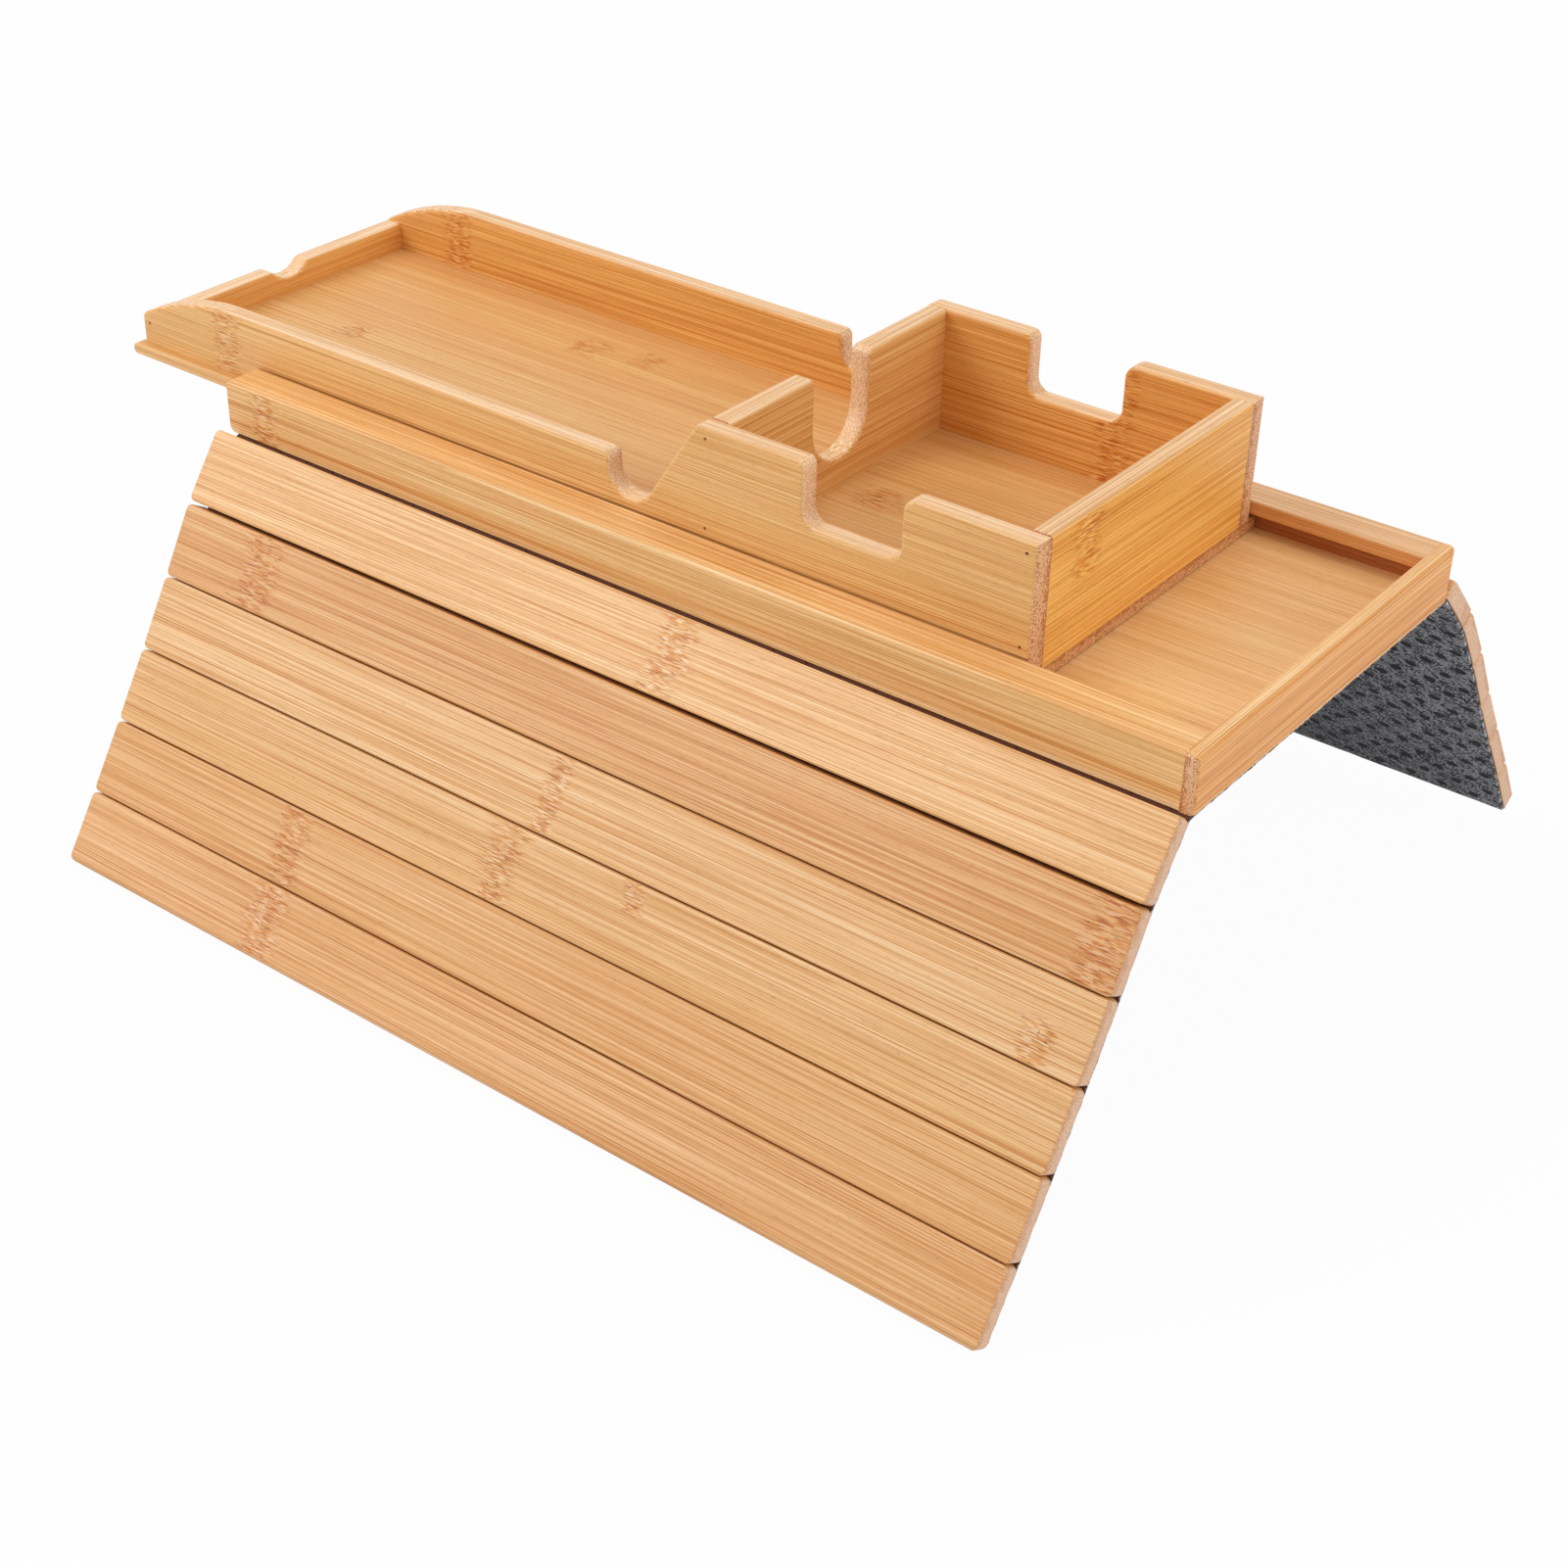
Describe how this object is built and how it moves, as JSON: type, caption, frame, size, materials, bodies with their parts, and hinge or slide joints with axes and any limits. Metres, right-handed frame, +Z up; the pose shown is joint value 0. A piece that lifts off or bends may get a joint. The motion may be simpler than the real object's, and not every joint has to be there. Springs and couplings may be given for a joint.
{
  "type": "sofa arm tray",
  "caption": "Bamboo tray for the arm of a sofa: a walled tray slides in the grooves of a felt-backed platform, with hinged flaps of slats hanging down both sides.",
  "frame": {"origin": "middle of the felt's underside, where the platform lies on the arm", "axes": "+X along the arm towards the platform's closed end, +Y to the back, +Z up"},
  "size_m": [0.4636, 0.3668, 0.1993],
  "materials": {
    "platform_bamboo": "satin lacquer",
    "tray_bamboo": "satin lacquer",
    "slat_bamboo": "satin lacquer",
    "grey_felt": "needle felt, matte",
    "steel_brads": "dull"
  },
  "bodies": {
    "platform": {"platform_floor": "platform_bamboo", "front_rail": "platform_bamboo", "back_rail": "platform_bamboo", "end_rail": "platform_bamboo", "platform_felt": "grey_felt"},
    "tray": {"tray_floor": "tray_bamboo", "tray_front_wall": "tray_bamboo", "tray_back_wall": "tray_bamboo", "tray_left_end_wall": "tray_bamboo", "tray_divider": "tray_bamboo", "tray_right_end_wall": "tray_bamboo", "tray_brads": "steel_brads"},
    "front_slat_1": {"front_slat_1": "slat_bamboo", "front_felt_1": "grey_felt"},
    "front_slat_2": {"front_slat_2": "slat_bamboo", "front_felt_2": "grey_felt"},
    "front_slat_3": {"front_slat_3": "slat_bamboo", "front_felt_3": "grey_felt"},
    "front_slat_4": {"front_slat_4": "slat_bamboo", "front_felt_4": "grey_felt"},
    "front_slat_5": {"front_slat_5": "slat_bamboo", "front_felt_5": "grey_felt"},
    "front_slat_6": {"front_slat_6": "slat_bamboo", "front_felt_6": "grey_felt"},
    "back_slat_1": {"back_slat_1": "slat_bamboo", "back_felt_1": "grey_felt"},
    "back_slat_2": {"back_slat_2": "slat_bamboo", "back_felt_2": "grey_felt"},
    "back_slat_3": {"back_slat_3": "slat_bamboo", "back_felt_3": "grey_felt"},
    "back_slat_4": {"back_slat_4": "slat_bamboo", "back_felt_4": "grey_felt"},
    "back_slat_5": {"back_slat_5": "slat_bamboo", "back_felt_5": "grey_felt"},
    "back_slat_6": {"back_slat_6": "slat_bamboo", "back_felt_6": "grey_felt"}
  },
  "joints": [
    {"name": "tray_slide", "type": "slide", "parent": "platform", "child": "tray", "axis": [1, 0, 0], "range_m": [-0.09, 0.062]},
    {"name": "front_hinge_1", "type": "hinge", "parent": "platform", "child": "front_slat_1", "pos_m": [0, -0.0838, 0.0006], "axis": [1, 0, 0], "range_deg": [-54, 36]},
    {"name": "front_hinge_2", "type": "hinge", "parent": "front_slat_1", "child": "front_slat_2", "pos_m": [0, -0.1002, -0.02197], "axis": [1, 0, 0], "range_deg": [-10, 6]},
    {"name": "front_hinge_3", "type": "hinge", "parent": "front_slat_2", "child": "front_slat_3", "pos_m": [0, -0.11415, -0.04613], "axis": [1, 0, 0], "range_deg": [-3, 13]},
    {"name": "front_hinge_4", "type": "hinge", "parent": "front_slat_3", "child": "front_slat_4", "pos_m": [0, -0.12852, -0.07005], "axis": [1, 0, 0], "range_deg": [-3, 13]},
    {"name": "front_hinge_5", "type": "hinge", "parent": "front_slat_4", "child": "front_slat_5", "pos_m": [0, -0.1433, -0.09371], "axis": [1, 0, 0], "range_deg": [-3, 13]},
    {"name": "front_hinge_6", "type": "hinge", "parent": "front_slat_5", "child": "front_slat_6", "pos_m": [0, -0.1585, -0.11711], "axis": [1, 0, 0], "range_deg": [-3, 13]},
    {"name": "back_hinge_1", "type": "hinge", "parent": "platform", "child": "back_slat_1", "pos_m": [0, 0.0838, 0.0006], "axis": [-1, 0, 0], "range_deg": [-45, 45]},
    {"name": "back_hinge_2", "type": "hinge", "parent": "back_slat_1", "child": "back_slat_2", "pos_m": [0, 0.10353, -0.01913], "axis": [-1, 0, 0], "range_deg": [-13, 3]},
    {"name": "back_hinge_3", "type": "hinge", "parent": "back_slat_2", "child": "back_slat_3", "pos_m": [0, 0.11993, -0.0417], "axis": [-1, 0, 0], "range_deg": [-7, 9]},
    {"name": "back_hinge_4", "type": "hinge", "parent": "back_slat_3", "child": "back_slat_4", "pos_m": [0, 0.13512, -0.0651], "axis": [-1, 0, 0], "range_deg": [-2, 14]},
    {"name": "back_hinge_5", "type": "hinge", "parent": "back_slat_4", "child": "back_slat_5", "pos_m": [0, 0.15113, -0.08795], "axis": [-1, 0, 0], "range_deg": [-3.5, 12.5]},
    {"name": "back_hinge_6", "type": "hinge", "parent": "back_slat_5", "child": "back_slat_6", "pos_m": [0, 0.16733, -0.11067], "axis": [-1, 0, 0], "range_deg": [-6, 10]}
  ]
}
